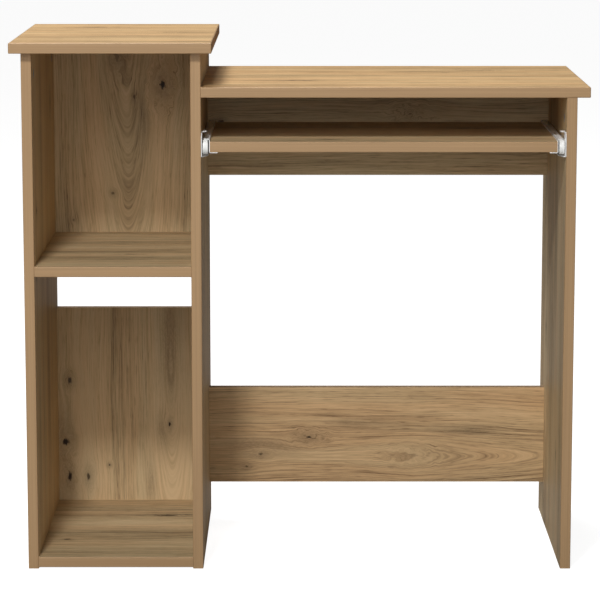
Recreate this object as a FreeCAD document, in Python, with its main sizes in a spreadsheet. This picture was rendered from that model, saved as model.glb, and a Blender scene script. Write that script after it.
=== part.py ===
import FreeCAD, Part
import os
import Sketcher
from FreeCAD import Rotation, Vector

# Computer desk of 16 mm melamine board: a two-bay cabinet on the left, a lower desktop on the
# right and a keyboard tray on roller slides under the desktop.
# X runs to the right, Y to the back and Z up. The origin is on the floor, under the middle of
# the whole desk, and the front faces -Y.

SIZES = {
    # whole desk
    "overall_width": 880,
    "cabinet_height": 818,
    "desk_height": 750,
    "side_depth": 400,
    "cabinet_width": 272,
    "top_overhang": 17,
    "desktop_overhang": 20,
    # boards and their edging
    "board": 16,
    "band": 2,
    "band_round": 1.5,
    # cabinet
    "shelf_height": 459,
    "floor_gap": 2,
    "lower_back_top": 347,
    # rails behind the knees
    "rail_inset": 64,
    "lower_rail_bottom": 64,
    "lower_rail_height": 160,
    "upper_rail_height": 156,
    # keyboard tray and its slides
    "tray_depth": 300,
    "slide_length": 300,
    "tray_drop": 67,
    "slide_gap": 13.5,
    "gauge": 1.2,
    "channel_drop": 8,
    "flange": 9,
    "ear_length": 34,
    "ear_rise": 31,
    "ear_corner": 7,
    "ear_tab": 8,
    "tray_flange": 11.5,
    "tray_lip": 8.3,
    "tray_lip_lift": 2,
    "tray_lip_setback": 8,
    "member_setback": 0.2,
    # rollers and their rivets
    "roller_diameter": 22,
    "roller_width": 8,
    "roller_chamfer": 0.8,
    "hub_radius": 4.6,
    "rim_radius": 8.8,
    "roller_recess": 1.6,
    "roller_setback": 15,
    "roller_gap": 0.3,
    "roller_side_gap": 1,
    "axle_diameter": 5,
    "axle_clearance": 0.05,
    "rivet_head_diameter": 8,
    "rivet_head": 0.8,
    "rivet_play": 0.2,
    # screws of the slides
    "screw_diameter": 3.4,
    "screw_length": 12,
    "screw_head_diameter": 6.4,
    "pan_head": 1.6,
    "first_screw": 46,
    "last_screw": 24,
    "tray_screw_inset": 6.5,
    # fittings that join the boards
    "fitting_edge": 37,
    "fitting_pitch": 32,
    "cam_diameter": 15,
    "cam_length": 12.5,
    "cam_reach": 34,
    "cam_slot": 7.4,
    "cam_slot_back": 0.5,
    "cam_cross": 8,
    "cam_cross_width": 1.6,
    "cam_cross_depth": 2.5,
    "bolt_thread": 4.9,
    "bolt_thread_length": 11,
    "bolt_collar": 7.2,
    "bolt_collar_length": 4,
    "bolt_neck": 4,
    "bolt_head": 6.4,
    "bolt_head_length": 5,
    "dowel_diameter": 8,
    "dowel_in_panel": 10,
    "dowel_in_end": 20,
    "dowel_chamfer": 1,
    # play between a fitting and its hole, across the diameter and at the bottom
    "hole_play": 0.1,
    "hole_spare": 1,
}

doc = FreeCAD.newDocument("computer_desk")
sheet = doc.addObject("Spreadsheet::Sheet", "Sizes")
for row, (alias, value) in enumerate(SIZES.items(), 1):
    sheet.set(f"A{row}", alias)
    sheet.set(f"B{row}", str(value))
    sheet.setAlias(f"B{row}", alias)
doc.recompute()


def size(alias):
    """The expression of one driving size."""
    return f"Sizes.{alias}"


def add(*terms):
    """The expression of a sum."""
    return "(" + " + ".join(terms) + ")"


def less(first, *rest):
    """The expression of a difference."""
    return "(" + " - ".join((first,) + rest) + ")"


BOARD = size("board")
HALF_BOARD = f"({BOARD} / 2)"
FRONT = "(-Sizes.side_depth / 2)"
BACK = "(Sizes.side_depth / 2)"

AXES = {(1, 0, 0): 0, (0, 1, 0): 1, (0, 0, 1): 2, (-1, 0, 0): 0, (0, -1, 0): 1, (0, 0, -1): 2}
PLANES = ("YZ_Plane", "XZ_Plane", "XY_Plane")
LEFTWARD, RIGHTWARD = (-1, 0, 0), (1, 0, 0)
BACKWARD = (0, 1, 0)
DOWN, UP = (0, 0, -1), (0, 0, 1)

parts = []


def keep(feature, label):
    """Give a finished sub-part its label, which names its file."""
    feature.Label = label
    parts.append(feature)
    return feature


def place(feature, corner, rotation=None):
    """Put a feature at a point whose coordinates are expressions, turned if need be."""
    if rotation:
        feature.Placement.Rotation = rotation
    for axis, expression in zip("xyz", corner):
        feature.setExpression(f"Placement.Base.{axis}", expression)
    return feature


def new_body(name):
    return doc.addObject("PartDesign::Body", name)


def new_sketch(body, plane, offset="0"):
    """An empty sketch on one of the body's origin planes, moved along that plane's normal."""
    sketch = body.newObject("Sketcher::SketchObject", f"{body.Name}_sketch")
    support = next(f for f in body.Origin.OriginFeatures if f.Role == plane)
    sketch.AttachmentSupport = [(support, "")]
    sketch.MapMode = "FlatFace"
    sketch.setExpression("AttachmentOffset.Base.z", offset)
    return sketch


def pin_point(sketch, geometry, vertex, point):
    """Tie a sketch point to a pair of expressions, measured from the sketch's origin."""
    for kind, expression, axis in zip(("DistanceX", "DistanceY"), point, (-2, -1)):
        value = float(sketch.evalExpression(expression))
        if expression == "0":
            sketch.addConstraint(Sketcher.Constraint("PointOnObject", geometry, vertex, axis))
            continue
        rule = sketch.addConstraint(Sketcher.Constraint(kind, -1, 1, geometry, vertex, value))
        sketch.setExpression(f"Constraints[{rule}]", expression)


def draw_polygon(sketch, points):
    """A closed outline of straight lines through points given as pairs of expressions."""
    corners = [Vector(*(float(sketch.evalExpression(e)) for e in point), 0) for point in points]
    count = len(corners)
    for i in range(count):
        sketch.addGeometry(Part.LineSegment(corners[i], corners[(i + 1) % count]), False)
    for i in range(count):
        sketch.addConstraint(Sketcher.Constraint("Coincident", i, 2, (i + 1) % count, 1))
    for i, point in enumerate(points):
        pin_point(sketch, i, 1, point)


def draw_circle(sketch, centre, diameter):
    spot = Vector(*(float(sketch.evalExpression(e)) for e in centre), 0)
    radius = float(sketch.evalExpression(diameter)) / 2
    index = sketch.addGeometry(Part.Circle(spot, Vector(0, 0, 1), radius), False)
    pin_point(sketch, index, 3, centre)
    rule = sketch.addConstraint(Sketcher.Constraint("Diameter", index, 2 * radius))
    sketch.setExpression(f"Constraints[{rule}]", diameter)


def pad(body, sketch, length, reverse=False):
    feature = body.newObject("PartDesign::Pad", f"{body.Name}_pad")
    feature.Profile = sketch
    feature.Reversed = reverse
    feature.setExpression("Length", length)
    return feature


def pocket(body, sketch, length, reverse):
    feature = body.newObject("PartDesign::Pocket", f"{body.Name}_pocket")
    feature.Profile = sketch
    feature.Reversed = reverse
    feature.setExpression("Length", length)
    return feature


def revolve(body, points):
    """A turned piece about the X axis, from pairs of place along the axis and radius."""
    sketch = new_sketch(body, "XY_Plane")
    draw_polygon(sketch, points)
    feature = body.newObject("PartDesign::Revolution", f"{body.Name}_turning")
    feature.Profile = sketch
    feature.ReferenceAxis = (sketch, ["H_Axis"])
    feature.Angle = 360
    return feature


def drill(body, direction, surface, centres, diameter, depth):
    """Round holes along one direction, from a surface at one place on that axis."""
    axis = AXES[direction]
    heads_positive = sum(direction) > 0
    # the front plane's normal points to the front, the other two point along their axes
    offset = f"-({surface})" if axis == 1 else surface
    sketch = new_sketch(body, PLANES[axis], offset)
    for centre in centres:
        draw_circle(sketch, [e for i, e in enumerate(centre) if i != axis], diameter)
    return pocket(body, sketch, depth, heads_positive != (axis == 1))


def faces_of(edge, box):
    """The two sides of a box that an edge lies on, each as an axis and its low or high end."""
    found = set()
    bounds = edge.BoundBox
    for axis, (low, high, start, end) in enumerate((
            (bounds.XMin, bounds.XMax, box.XMin, box.XMax),
            (bounds.YMin, bounds.YMax, box.YMin, box.YMax),
            (bounds.ZMin, bounds.ZMax, box.ZMin, box.ZMax))):
        if high - low < 1e-6:
            found.add((axis, "low" if abs(low - start) < abs(high - end) else "high"))
    return found


# ---------------------------------------------------------------- boards
# Each board is a blank with rounded edges and its drillings. Where it is edged, the blank is
# divided into the board and the plastic band glued round it.

SIDES = {"left": (0, "low"), "right": (0, "high"), "front": (1, "low"), "back": (1, "high")}
boards = {}


def board(name, corner, span, banded=(), thin=2):
    """Lay out one board: its low corner, its span along X, Y and Z and its edged sides."""
    body = new_body(f"{name}_blank")
    sketch = new_sketch(body, "XY_Plane")
    draw_polygon(sketch, [("0", "0"), (span[0], "0"), (span[0], span[1]), ("0", span[1])])
    blank = pad(body, sketch, span[2])
    doc.recompute()
    edged = {SIDES[side] for side in banded}
    broad = {(thin, "low"), (thin, "high")}
    box = blank.Shape.BoundBox
    rounded = []
    for number, edge in enumerate(blank.Shape.Edges, 1):
        sides = faces_of(edge, box)
        if sides & edged and sides <= edged | broad:
            rounded.append(f"Edge{number}")
    if rounded:
        fillet = body.newObject("PartDesign::Fillet", f"{name}_rounding")
        fillet.Base = (blank, rounded)
        fillet.setExpression("Radius", size("band_round"))
        doc.recompute()
    boards[name] = {"body": body, "corner": corner, "span": span, "banded": banded, "bores": {}}


def bore(name, direction, point, diameter, depth):
    """Note a hole in a board: the way it is drilled and the point where it starts."""
    entry = boards[name]
    axis = AXES[direction]
    local = [less(place_, start) for place_, start in zip(point, entry["corner"])]
    key = (direction, local[axis], diameter, depth)
    entry["bores"].setdefault(key, []).append(local)


def finish_board(name):
    """Drill the blank, then part it into the board and its edge band."""
    entry = boards[name]
    body = entry["body"]
    for (direction, surface, diameter, depth), centres in entry["bores"].items():
        drill(body, direction, surface, centres, diameter, depth)
    if not entry["banded"]:
        place(body, entry["corner"])
        return keep(body, name)
    low = ["0", "0", "0"]
    span = list(entry["span"])
    for side in entry["banded"]:
        axis, end = SIDES[side]
        span[axis] = less(span[axis], size("band"))
        if end == "low":
            low[axis] = size("band")
    core_zone = place(doc.addObject("Part::Box", f"{name}_core_zone"), low)
    for dimension, expression in zip(("Length", "Width", "Height"), span):
        core_zone.setExpression(dimension, expression)
    core = doc.addObject("Part::Common", f"{name}_core")
    core.Base, core.Tool = body, core_zone
    keep(place(core, entry["corner"]), name)
    band = doc.addObject("Part::Cut", f"{name}_band")
    band.Base, band.Tool = body, core_zone
    return keep(place(band, entry["corner"]), f"{name}_edge_band")


CABINET_LEFT = "(-Sizes.overall_width / 2 + Sizes.top_overhang)"
CABINET_RIGHT = add(CABINET_LEFT, size("cabinet_width"))
BAY_LEFT = add(CABINET_LEFT, BOARD)
BAY_RIGHT = less(CABINET_RIGHT, BOARD)
BAY_WIDTH = less(size("cabinet_width"), BOARD, BOARD)
CABINET_SIDE_HEIGHT = less(size("cabinet_height"), BOARD)
KNEE_LEFT = CABINET_RIGHT
KNEE_RIGHT = less("(Sizes.overall_width / 2)", size("desktop_overhang"), BOARD)
KNEE_WIDTH = less(KNEE_RIGHT, KNEE_LEFT)
DESK_UNDERSIDE = less(size("desk_height"), BOARD)
DEPTH = size("side_depth")
BACK_PANEL_FRONT = less(BACK, BOARD)
SHELF_TOP = add(size("shelf_height"), BOARD)
BOTTOM_TOP = add(size("floor_gap"), BOARD)
RAIL_BACK = less(BACK, size("rail_inset"))
RAIL_FRONT = less(RAIL_BACK, BOARD)
UPPER_RAIL_BOTTOM = less(DESK_UNDERSIDE, size("upper_rail_height"))
TRAY_TOP = less(DESK_UNDERSIDE, size("tray_drop"))
TRAY_BOTTOM = less(TRAY_TOP, BOARD)
TRAY_DEPTH = size("tray_depth")
TRAY_LEFT = add(KNEE_LEFT, size("slide_gap"))
TRAY_WIDTH = less(KNEE_WIDTH, size("slide_gap"), size("slide_gap"))
OVERHUNG_DEPTH = "(Sizes.side_depth + 2 * Sizes.top_overhang)"
OVERHUNG_FRONT = less(FRONT, size("top_overhang"))

for side, left_face in (("left", CABINET_LEFT), ("right", BAY_RIGHT)):
    board(f"cabinet_{side}_side", (left_face, FRONT, "0"), (BOARD, DEPTH, CABINET_SIDE_HEIGHT),
          ["front"], thin=0)
board("cabinet_top", (less(CABINET_LEFT, size("top_overhang")), OVERHUNG_FRONT, CABINET_SIDE_HEIGHT),
      ("(Sizes.cabinet_width + 2 * Sizes.top_overhang)", OVERHUNG_DEPTH, BOARD),
      ["front", "back", "left", "right"])
board("cabinet_shelf", (BAY_LEFT, FRONT, size("shelf_height")), (BAY_WIDTH, DEPTH, BOARD), ["front"])
board("cabinet_bottom", (BAY_LEFT, FRONT, size("floor_gap")), (BAY_WIDTH, DEPTH, BOARD), ["front"])
board("cabinet_back_upper", (BAY_LEFT, BACK_PANEL_FRONT, SHELF_TOP),
      (BAY_WIDTH, BOARD, less(CABINET_SIDE_HEIGHT, SHELF_TOP)), thin=1)
board("cabinet_back_lower", (BAY_LEFT, BACK_PANEL_FRONT, BOTTOM_TOP),
      (BAY_WIDTH, BOARD, less(size("lower_back_top"), BOTTOM_TOP)), thin=1)
board("desktop", (KNEE_LEFT, FRONT, DESK_UNDERSIDE),
      (less("(Sizes.overall_width / 2)", KNEE_LEFT), DEPTH, BOARD), ["front", "back", "right"])
board("desk_right_side", (KNEE_RIGHT, FRONT, "0"), (BOARD, DEPTH, DESK_UNDERSIDE), ["front"], thin=0)
board("modesty_rail_upper", (KNEE_LEFT, RAIL_FRONT, UPPER_RAIL_BOTTOM),
      (KNEE_WIDTH, BOARD, size("upper_rail_height")), thin=1)
board("modesty_rail_lower", (KNEE_LEFT, RAIL_FRONT, size("lower_rail_bottom")),
      (KNEE_WIDTH, BOARD, size("lower_rail_height")), thin=1)
board("keyboard_tray", (TRAY_LEFT, FRONT, TRAY_BOTTOM), (TRAY_WIDTH, TRAY_DEPTH, BOARD),
      ["front"])

# ---------------------------------------------------------------- board fittings
# Every joint has cam locks in the end of one board, their bolts in the face of the other, and
# a wooden dowel beside each. A fitting is noted as its point on the joint, the way from the
# faced panel into the ended board, and the way the cam's mouth looks.


def along(point, direction, distance):
    """A point moved along one axis by an expression."""
    moved = list(point)
    axis = AXES[direction]
    join = add if sum(direction) > 0 else less
    moved[axis] = join(point[axis], distance)
    return moved


def opposite(direction):
    return tuple(-component for component in direction)


cams, bolts, dowels = [], [], []


def join(panel, ended, direction, mouth, point, run, first, last):
    """Fit one joint with a cam, bolt and dowel near each end of its run."""
    play = size("hole_play")
    spare = size("hole_spare")
    ends = ((add(first, size("fitting_edge")), add), (less(last, size("fitting_edge")), less))
    for edge, inward in ends:
        at_cam = list(point)
        at_cam[run] = edge
        at_dowel = list(point)
        at_dowel[run] = inward(edge, size("fitting_pitch"))
        mouth_point = along(along(at_cam, direction, size("cam_reach")), mouth, HALF_BOARD)
        cams.append((mouth_point, direction, mouth))
        bolts.append((at_cam, direction))
        dowels.append((at_dowel, direction))
        into_panel = opposite(direction)
        bore(ended, opposite(mouth), mouth_point, add(size("cam_diameter"), play), size("cam_length"))
        bore(ended, direction, at_cam, add(size("bolt_collar"), play), size("cam_reach"))
        bore(ended, direction, at_dowel, add(size("dowel_diameter"), play),
             add(size("dowel_in_end"), spare))
        bore(panel, into_panel, at_cam, add(size("bolt_thread"), play),
             add(size("bolt_thread_length"), spare))
        bore(panel, into_panel, at_dowel, add(size("dowel_diameter"), play),
             add(size("dowel_in_panel"), spare))


def join_both_ends(ended, left_panel, right_panel, left, right, mouth, point, run, first, last):
    """Fit the left and right ends of a board that stands between two panels."""
    for panel, direction, end in ((left_panel, RIGHTWARD, left), (right_panel, LEFTWARD, right)):
        spot = list(point)
        spot[0] = end
        join(panel, ended, direction, mouth, spot, run, first, last)


BAY = ("cabinet_left_side", "cabinet_right_side", BAY_LEFT, BAY_RIGHT)
KNEE = ("cabinet_right_side", "desk_right_side", KNEE_LEFT, KNEE_RIGHT)
join_both_ends("cabinet_shelf", *BAY, DOWN, ("0", "0", add(size("shelf_height"), HALF_BOARD)), 1,
               FRONT, BACK_PANEL_FRONT)
join_both_ends("cabinet_bottom", *BAY, DOWN, ("0", "0", add(size("floor_gap"), HALF_BOARD)), 1,
               FRONT, BACK_PANEL_FRONT)
join_both_ends("cabinet_back_upper", *BAY, BACKWARD, ("0", less(BACK, HALF_BOARD), "0"), 2,
               SHELF_TOP, CABINET_SIDE_HEIGHT)
join_both_ends("cabinet_back_lower", *BAY, BACKWARD, ("0", less(BACK, HALF_BOARD), "0"), 2,
               BOTTOM_TOP, size("lower_back_top"))
RAIL_MIDDLE = less(RAIL_BACK, HALF_BOARD)
join_both_ends("modesty_rail_upper", *KNEE, BACKWARD, ("0", RAIL_MIDDLE, "0"), 2,
               UPPER_RAIL_BOTTOM, DESK_UNDERSIDE)
join_both_ends("modesty_rail_lower", *KNEE, BACKWARD, ("0", RAIL_MIDDLE, "0"), 2,
               size("lower_rail_bottom"), add(size("lower_rail_bottom"), size("lower_rail_height")))
join("cabinet_right_side", "desktop", RIGHTWARD, DOWN,
     (KNEE_LEFT, "0", add(DESK_UNDERSIDE, HALF_BOARD)), 1, FRONT, BACK)
join("desktop", "desk_right_side", DOWN, LEFTWARD,
     (add(KNEE_RIGHT, HALF_BOARD), "0", DESK_UNDERSIDE), 1, FRONT, BACK_PANEL_FRONT)
join("cabinet_top", "cabinet_left_side", DOWN, RIGHTWARD,
     (add(CABINET_LEFT, HALF_BOARD), "0", CABINET_SIDE_HEIGHT), 1, FRONT, BACK_PANEL_FRONT)
join("cabinet_top", "cabinet_right_side", DOWN, LEFTWARD,
     (add(BAY_RIGHT, HALF_BOARD), "0", CABINET_SIDE_HEIGHT), 1, FRONT, BACK_PANEL_FRONT)

cam = new_body("cam_pattern")
cam_outline = new_sketch(cam, "XY_Plane")
draw_circle(cam_outline, ("0", "0"), size("cam_diameter"))
pad(cam, cam_outline, less(size("cam_length"), size("hole_play")), reverse=True)
# the slot for the bolt's head, open towards -X and towards the bottom of the housing
slot_outline = new_sketch(cam, "XY_Plane", less("0", size("cam_length")))
draw_polygon(slot_outline, [(size("cam_slot_back"), "(-Sizes.cam_slot / 2)"),
                            (size("cam_slot_back"), "(Sizes.cam_slot / 2)"),
                            (less("0", size("cam_diameter")), "(Sizes.cam_slot / 2)"),
                            (less("0", size("cam_diameter")), "(-Sizes.cam_slot / 2)")])
pocket(cam, slot_outline, less(size("cam_length"), HALF_BOARD, "(-Sizes.cam_slot / 2)"), True)
# the cross for the screwdriver, in the face that shows
arm, half_arm = "(Sizes.cam_cross / 2)", "(Sizes.cam_cross_width / 2)"
for long_x, long_y in ((arm, half_arm), (half_arm, arm)):
    cross_outline = new_sketch(cam, "XY_Plane")
    draw_polygon(cross_outline, [(less("0", long_x), less("0", long_y)), (long_x, less("0", long_y)),
                                 (long_x, long_y), (less("0", long_x), long_y)])
    pocket(cam, cross_outline, size("cam_cross_depth"), False)

bolt = new_body("bolt_pattern")
BOLT_HEAD_START = less(size("cam_reach"), size("bolt_head_length"))
revolve(bolt, [(less("0", size("bolt_thread_length")), "0"),
               (less("0", size("bolt_thread_length")), "(Sizes.bolt_thread / 2)"),
               ("0", "(Sizes.bolt_thread / 2)"), ("0", "(Sizes.bolt_collar / 2)"),
               (size("bolt_collar_length"), "(Sizes.bolt_collar / 2)"),
               (size("bolt_collar_length"), "(Sizes.bolt_neck / 2)"),
               (BOLT_HEAD_START, "(Sizes.bolt_neck / 2)"), (BOLT_HEAD_START, "(Sizes.bolt_head / 2)"),
               (size("cam_reach"), "(Sizes.bolt_head / 2)"), (size("cam_reach"), "0")])

dowel = new_body("dowel_pattern")
DOWEL_RADIUS = "(Sizes.dowel_diameter / 2)"
DOWEL_TIP_RADIUS = less(DOWEL_RADIUS, size("dowel_chamfer"))
DOWEL_START = less("0", size("dowel_in_panel"))
revolve(dowel, [(DOWEL_START, "0"), (DOWEL_START, DOWEL_TIP_RADIUS),
                (add(DOWEL_START, size("dowel_chamfer")), DOWEL_RADIUS),
                (less(size("dowel_in_end"), size("dowel_chamfer")), DOWEL_RADIUS),
                (size("dowel_in_end"), DOWEL_TIP_RADIUS), (size("dowel_in_end"), "0")])


def group(label, pattern, places):
    """One node of identical pieces: a copy of the pattern at each place and turn."""
    copies = []
    for number, (point, rotation) in enumerate(places, 1):
        copy = doc.addObject("App::Link", f"{label}_{number}")
        copy.LinkedObject = pattern
        copies.append(place(copy, point, rotation))
    gathered = doc.addObject("Part::Compound", label)
    gathered.Links = copies
    return keep(gathered, label)


def pointing(direction):
    """The turn that takes the X axis to a direction."""
    return Rotation(Vector(1, 0, 0), Vector(*direction))


def cam_turn(direction, mouth):
    """The turn that takes +X to the bolt's direction and +Z to the cam's mouth."""
    x_axis, z_axis = Vector(*direction), Vector(*mouth)
    return Rotation(x_axis, z_axis.cross(x_axis), z_axis, "ZXY")


group("cam_locks", cam, [(point, cam_turn(way, mouth)) for point, way, mouth in cams])
group("cam_bolts", bolt, [(point, pointing(way)) for point, way in bolts])
group("wooden_dowels", dowel, [(point, pointing(way)) for point, way in dowels])

# ---------------------------------------------------------------- roller slides
# Both slides have the same length. Each is drawn at the left of the tray: x from the
# panel's face towards the tray, y from the front edge, z from the tray's underside. The right
# slide is its mirror image.

SLIDE = (KNEE_LEFT, FRONT, TRAY_BOTTOM)
SLIDE_LENGTH = size("slide_length")
GAUGE = size("gauge")
ROLLER_RADIUS = "(Sizes.roller_diameter / 2)"
CHANNEL_HEIGHT = add(GAUGE, GAUGE, size("roller_diameter"), size("roller_gap"), size("roller_gap"))
CHANNEL_BOTTOM = less("0", size("channel_drop"))
CHANNEL_TOP = add(CHANNEL_BOTTOM, CHANNEL_HEIGHT)
LIP_UNDERSIDE = add(BOARD, size("tray_lip_lift"))
FLANGE_EDGE = add(GAUGE, size("flange"))
EAR_TOP = size("ear_rise")
TRAY_WEB = less(size("slide_gap"), GAUGE)
FRONT_ROLLER_HEIGHT = less(LIP_UNDERSIDE, size("roller_gap"), ROLLER_RADIUS)
REAR_ROLLER_HEIGHT = add(CHANNEL_BOTTOM, GAUGE, size("roller_gap"), ROLLER_RADIUS)
REAR_ROLLER_PLACE = less(SLIDE_LENGTH, size("roller_setback"))
MIDDLE_SCREW = f"((Sizes.first_screw + {SLIDE_LENGTH} - Sizes.last_screw) / 2)"
SCREW_PLACES = (size("first_screw"), MIDDLE_SCREW, less(SLIDE_LENGTH, size("last_screw")))
# the screws of the fixed member sit on the middle line of its channel
CHANNEL_MIDDLE = add(CHANNEL_BOTTOM, f"{CHANNEL_HEIGHT} / 2")
AXLE_HOLE = "(Sizes.axle_diameter + 2 * Sizes.axle_clearance)"


def on_slide(x="0", y="0", z="0"):
    """A point of the left slide in the desk's own frame."""
    return (add(SLIDE[0], x), add(SLIDE[1], y), add(SLIDE[2], z))


def pair(feature, name):
    """Keep a left piece and add its mirror image for the right side."""
    keep(feature, f"{name}_left")
    mirror = doc.addObject("Part::Mirroring", f"{name}_mirror")
    mirror.Source = feature
    mirror.Normal = Vector(1, 0, 0)
    mirror.setExpression("Base.x", f"({KNEE_LEFT} + {KNEE_RIGHT}) / 2")
    return keep(mirror, f"{name}_right")


# fixed member: a channel screwed to the panel, with a taller ear at the front for the roller
fixed = new_body("fixed_member")
ear_front = new_sketch(fixed, "YZ_Plane")
draw_polygon(ear_front, [("0", CHANNEL_BOTTOM), (SLIDE_LENGTH, CHANNEL_BOTTOM),
                         (SLIDE_LENGTH, CHANNEL_TOP),
                         (add(size("ear_length"), size("ear_corner")), CHANNEL_TOP),
                         (size("ear_length"), less(EAR_TOP, size("ear_corner"))),
                         (less(size("ear_length"), size("ear_corner")), EAR_TOP),
                         (size("ear_corner"), EAR_TOP),
                         ("0", less(EAR_TOP, size("ear_corner")))])
pad(fixed, ear_front, GAUGE)
lower_flange = new_sketch(fixed, "XY_Plane", CHANNEL_BOTTOM)
draw_polygon(lower_flange, [("0", "0"), (FLANGE_EDGE, less(size("ear_length"), size("ear_corner"))),
                            (FLANGE_EDGE, SLIDE_LENGTH), ("0", SLIDE_LENGTH)])
pad(fixed, lower_flange, GAUGE)
upper_flange = new_sketch(fixed, "XY_Plane", less(CHANNEL_TOP, GAUGE))
draw_polygon(upper_flange, [("0", add(size("ear_length"), size("ear_corner"))),
                            (FLANGE_EDGE, add(size("ear_length"), size("ear_corner"), size("flange"))),
                            (FLANGE_EDGE, SLIDE_LENGTH), ("0", SLIDE_LENGTH)])
pad(fixed, upper_flange, GAUGE)
ear_tab = new_sketch(fixed, "XY_Plane", less(EAR_TOP, GAUGE))
draw_polygon(ear_tab, [("0", size("ear_corner")), (size("ear_tab"), "(2 * Sizes.ear_corner)"),
                       (size("ear_tab"), less(size("ear_length"), size("ear_corner"))),
                       ("0", less(size("ear_length"), size("ear_corner")))])
pad(fixed, ear_tab, GAUGE)
drill(fixed, RIGHTWARD, "0", [("0", y, CHANNEL_MIDDLE) for y in SCREW_PLACES],
      add(size("screw_head_diameter"), size("hole_play")), GAUGE)
drill(fixed, RIGHTWARD, "0", [("0", size("roller_setback"), FRONT_ROLLER_HEIGHT)], AXLE_HOLE, GAUGE)
place(fixed, on_slide())
pair(fixed, "slide_fixed_member")

# moving member: a web on the tray's end, a flange under the tray and a lip over the roller
moving = new_body("moving_member")
moving_section = new_sketch(moving, "XZ_Plane", less("0", size("member_setback")))
UNDER_TRAY = less("0", GAUGE)
LIP_TOP = add(LIP_UNDERSIDE, GAUGE)
FLANGE_END = add(size("slide_gap"), size("tray_flange"))
LIP_END = less(TRAY_WEB, size("tray_lip"))
draw_polygon(moving_section, [(TRAY_WEB, UNDER_TRAY), (FLANGE_END, UNDER_TRAY), (FLANGE_END, "0"),
                              (size("slide_gap"), "0"), (size("slide_gap"), LIP_TOP), (LIP_END, LIP_TOP),
                              (LIP_END, LIP_UNDERSIDE), (TRAY_WEB, LIP_UNDERSIDE)])
pad(moving, moving_section, less(SLIDE_LENGTH, size("member_setback")), reverse=True)
# the lip starts behind the front end, with a slanted corner
lip_relief = new_sketch(moving, "XY_Plane", LIP_TOP)
draw_polygon(lip_relief, [("0", "0"), (TRAY_WEB, "0"), (TRAY_WEB, size("tray_lip_setback")),
                          ("0", "(2 * Sizes.tray_lip_setback)")])
pocket(moving, lip_relief, add(GAUGE, GAUGE), False)
TRAY_SCREW_LINE = add(size("slide_gap"), size("tray_screw_inset"))
drill(moving, UP, UNDER_TRAY, [(TRAY_SCREW_LINE, y, "0") for y in SCREW_PLACES],
      add(size("screw_diameter"), size("hole_play")), GAUGE)
drill(moving, RIGHTWARD, TRAY_WEB, [("0", REAR_ROLLER_PLACE, REAR_ROLLER_HEIGHT)], AXLE_HOLE, GAUGE)
place(moving, on_slide())
pair(moving, "slide_moving_member")

# rollers, recessed on the side of the rivet's head, and the rivets they turn on
RIM_SIDE = size("roller_width")
ROLLER_BORE = f"({AXLE_HOLE} / 2)"
RECESS_FLOOR = less(RIM_SIDE, size("roller_recess"))
RIM_CORNER = less(ROLLER_RADIUS, size("roller_chamfer"))
ROLLER_OUTLINE = [("0", ROLLER_BORE), ("0", RIM_CORNER), (size("roller_chamfer"), ROLLER_RADIUS),
                  (less(RIM_SIDE, size("roller_chamfer")), ROLLER_RADIUS), (RIM_SIDE, RIM_CORNER),
                  (RIM_SIDE, size("rim_radius")), (RECESS_FLOOR, size("rim_radius")),
                  (RECESS_FLOOR, size("hub_radius")), (RIM_SIDE, size("hub_radius")),
                  (RIM_SIDE, ROLLER_BORE)]
RIVET_SHANK = add(GAUGE, size("roller_side_gap"), RIM_SIDE, size("rivet_play"))
RIVET_END = add(RIVET_SHANK, size("rivet_head"))
AXLE_RADIUS = "(Sizes.axle_diameter / 2)"
RIVET_HEAD_RADIUS = "(Sizes.rivet_head_diameter / 2)"
RIVET_OUTLINE = [("0", "0"), ("0", AXLE_RADIUS), (RIVET_SHANK, AXLE_RADIUS),
                 (RIVET_SHANK, RIVET_HEAD_RADIUS), (RIVET_END, RIVET_HEAD_RADIUS), (RIVET_END, "0")]
ROLLER_STAND = add(GAUGE, size("roller_side_gap"))
ABOUT_FACE = Rotation(Vector(0, 0, 1), 180)
for end, wall, turn, shift, y, z in (
        ("front", "0", Rotation(), add, size("roller_setback"), FRONT_ROLLER_HEIGHT),
        ("rear", size("slide_gap"), ABOUT_FACE, less, REAR_ROLLER_PLACE, REAR_ROLLER_HEIGHT)):
    roller = new_body(f"{end}_roller_pattern")
    revolve(roller, ROLLER_OUTLINE)
    place(roller, on_slide(shift(wall, ROLLER_STAND), y, z), turn)
    pair(roller, f"{end}_roller")
    rivet = new_body(f"{end}_rivet_pattern")
    revolve(rivet, RIVET_OUTLINE)
    place(rivet, on_slide(wall, y, z), turn)
    pair(rivet, f"{end}_roller_rivet")

# screws: flush ones through the fixed member into the panels, pan heads up into the tray
SCREW_RADIUS = "(Sizes.screw_diameter / 2)"
HEAD_RADIUS = "(Sizes.screw_head_diameter / 2)"


def screw_outline(head, head_edge):
    """Half of a wood screw: a head of one height, then a shank with a pointed tip."""
    tip = add(head, size("screw_length"))
    return [("0", "0"), ("0", HEAD_RADIUS), (head_edge, HEAD_RADIUS), (head, SCREW_RADIUS),
            (less(tip, size("screw_diameter")), SCREW_RADIUS), (tip, "0")]


flush_screw = new_body("flush_screw_pattern")
revolve(flush_screw, screw_outline(GAUGE, f"({GAUGE} / 4)"))
pan_screw = new_body("pan_screw_pattern")
revolve(pan_screw, screw_outline(size("pan_head"), f"({size('pan_head')} - {size('hole_play')})"))

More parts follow.
